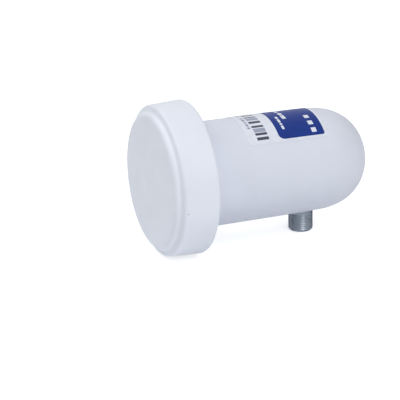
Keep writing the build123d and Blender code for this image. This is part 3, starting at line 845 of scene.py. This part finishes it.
def floor_material(stage):
    """Pale floor that the camera sees as white, with the object's shadow on it."""
    material = bpy.data.materials.new("studio_floor")
    material.use_nodes = True
    tree = material.node_tree
    tree.nodes.clear()
    matt = tree.nodes.new("ShaderNodeBsdfDiffuse")
    matt.inputs["Color"].default_value = (*stage.floor_shade, 1)
    lift = tree.nodes.new("ShaderNodeEmission")
    level = tree.nodes.new("ShaderNodeMath")
    level.operation = "MULTIPLY"
    level.inputs[1].default_value = stage.floor_lift
    tree.links.new(seen_directly(tree), level.inputs[0])
    tree.links.new(level.outputs[0], lift.inputs["Strength"])
    lifted = tree.nodes.new("ShaderNodeAddShader")
    tree.links.new(matt.outputs["BSDF"], lifted.inputs[0])
    tree.links.new(lift.outputs["Emission"], lifted.inputs[1])
    output = tree.nodes.new("ShaderNodeOutputMaterial")
    tree.links.new(lifted.outputs["Shader"], output.inputs["Surface"])
    return material


def add_floor(stage):
    """Round floor under the cap's rim and the connector's tip, which the object leans on."""
    bm = bmesh.new()
    bmesh.ops.create_circle(bm, cap_ends=True, segments=RING_SEGMENTS, radius=stage.floor_radius)
    mesh = bpy.data.meshes.new("studio_floor")
    bm.to_mesh(mesh)
    bm.free()
    floor = bpy.data.objects.new("studio_floor", mesh)
    bpy.context.scene.collection.objects.link(floor)
    rim = Vector((CAP_HIGH.x, 0, CAP_LOW.z))
    tip = Vector((BARREL_HIGH.x, 0, BARREL_LOW.z))
    lean = math.atan2(tip.z - rim.z, tip.x - rim.x)
    floor.matrix_world = Matrix.Translation(rim) @ Matrix.Rotation(-lean, 4, "Y")
    mesh.materials.append(floor_material(stage))


def add_world(stage):
    """Even light from all round, which the camera sees as white."""
    world = bpy.data.worlds.new("studio_light")
    world.use_nodes = True
    tree = world.node_tree
    tree.nodes.clear()
    light = tree.nodes.new("ShaderNodeBackground")
    light.inputs["Color"].default_value = (*stage.ambient_shade, 1)
    light.inputs["Strength"].default_value = stage.ambient
    white = tree.nodes.new("ShaderNodeBackground")
    white.inputs["Color"].default_value = (*WHITE, 1)
    mix = tree.nodes.new("ShaderNodeMixShader")
    tree.links.new(seen_directly(tree), mix.inputs["Fac"])
    tree.links.new(light.outputs["Background"], mix.inputs[1])
    tree.links.new(white.outputs["Background"], mix.inputs[2])
    output = tree.nodes.new("ShaderNodeOutputWorld")
    tree.links.new(mix.outputs["Shader"], output.inputs["Surface"])
    bpy.context.scene.world = world


def add_lamp(name, watts, width, place):
    """Square soft lamp that looks at the object's origin."""
    lamp = bpy.data.lights.new(name, "AREA")
    lamp.energy = watts
    lamp.size = width
    holder = bpy.data.objects.new(name, lamp)
    bpy.context.scene.collection.objects.link(holder)
    holder.location = place
    holder.rotation_mode = "QUATERNION"
    holder.rotation_quaternion = (-place).to_track_quat("-Z", "Y")


def add_camera(stage):
    """Camera at the photograph's angle."""
    camera = bpy.data.cameras.new("camera")
    camera.lens = stage.lens
    camera.sensor_width = SENSOR_WIDTH
    holder = bpy.data.objects.new("camera", camera)
    scene = bpy.context.scene
    scene.collection.objects.link(holder)
    back = Vector((
        math.sin(stage.azimuth) * math.cos(stage.elevation),
        -math.cos(stage.azimuth) * math.cos(stage.elevation),
        math.sin(stage.elevation),
    ))
    holder.rotation_mode = "QUATERNION"
    level = back.to_track_quat("Z", "Y").to_matrix()
    holder.rotation_quaternion = (level @ Matrix.Rotation(stage.roll, 3, "Z")).to_quaternion()
    holder.location = CAMERA_AIM + back * stage.distance
    scene.camera = holder


class LNB_OT_stage(bpy.types.Operator):
    """Set up the floor, the lamps, the surrounding light and the camera"""
    bl_idname = "lnb.stage"
    bl_label = "Stage"

    def execute(self, context):
        stage = context.scene.lnb_stage
        add_floor(stage)
        add_world(stage)
        add_lamp("crown_lamp", stage.crown_power, stage.crown_width, CROWN_PLACE)
        add_lamp("front_lamp", stage.front_power, stage.front_width, FRONT_PLACE)
        add_lamp("low_lamp", stage.low_power, stage.low_width, LOW_PLACE)
        add_camera(stage)
        context.scene.view_settings.view_transform = "Standard"
        return {"FINISHED"}


SETTINGS = {
    "lnb_cap": CapSettings,
    "lnb_housing": HousingSettings,
    "lnb_label": LabelSettings,
    "lnb_connector": ConnectorSettings,
    "lnb_stage": StageSettings,
}
OPERATORS = (
    LNB_OT_front_cap,
    LNB_OT_housing,
    LNB_OT_label,
    LNB_OT_label_print,
    LNB_OT_connector,
    LNB_OT_connector_core,
    LNB_OT_inner_pieces,
    LNB_OT_stage,
)


class LNB_PT_sidebar(bpy.types.Panel):
    """Sizes and colours of the LNB, and a button for each piece"""
    bl_label = "Satellite LNB"
    bl_space_type = "VIEW_3D"
    bl_region_type = "UI"
    bl_category = "LNB"

    def draw(self, context):
        for operator in OPERATORS:
            self.layout.operator(operator.bl_idname)
        for name, group in SETTINGS.items():
            box = self.layout.box()
            for prop in group.__annotations__:
                box.prop(getattr(context.scene, name), prop)


def register():
    """Register the settings, the operators and the panel."""
    for group in SETTINGS.values():
        bpy.utils.register_class(group)
    for name, group in SETTINGS.items():
        setattr(bpy.types.Scene, name, PointerProperty(type=group))
    for operator in OPERATORS:
        bpy.utils.register_class(operator)
    bpy.utils.register_class(LNB_PT_sidebar)


def unregister():
    """Take back what register did."""
    bpy.utils.unregister_class(LNB_PT_sidebar)
    for operator in reversed(OPERATORS):
        bpy.utils.unregister_class(operator)
    for name, group in SETTINGS.items():
        delattr(bpy.types.Scene, name)
        bpy.utils.unregister_class(group)


def main():
    """Build every piece and the stage."""
    register()
    bpy.ops.lnb.front_cap()
    bpy.ops.lnb.housing()
    bpy.ops.lnb.label()
    bpy.ops.lnb.label_print()
    bpy.ops.lnb.connector()
    bpy.ops.lnb.connector_core()
    bpy.ops.lnb.inner_pieces()
    bpy.ops.lnb.stage()


if __name__ == "__main__":
    main()
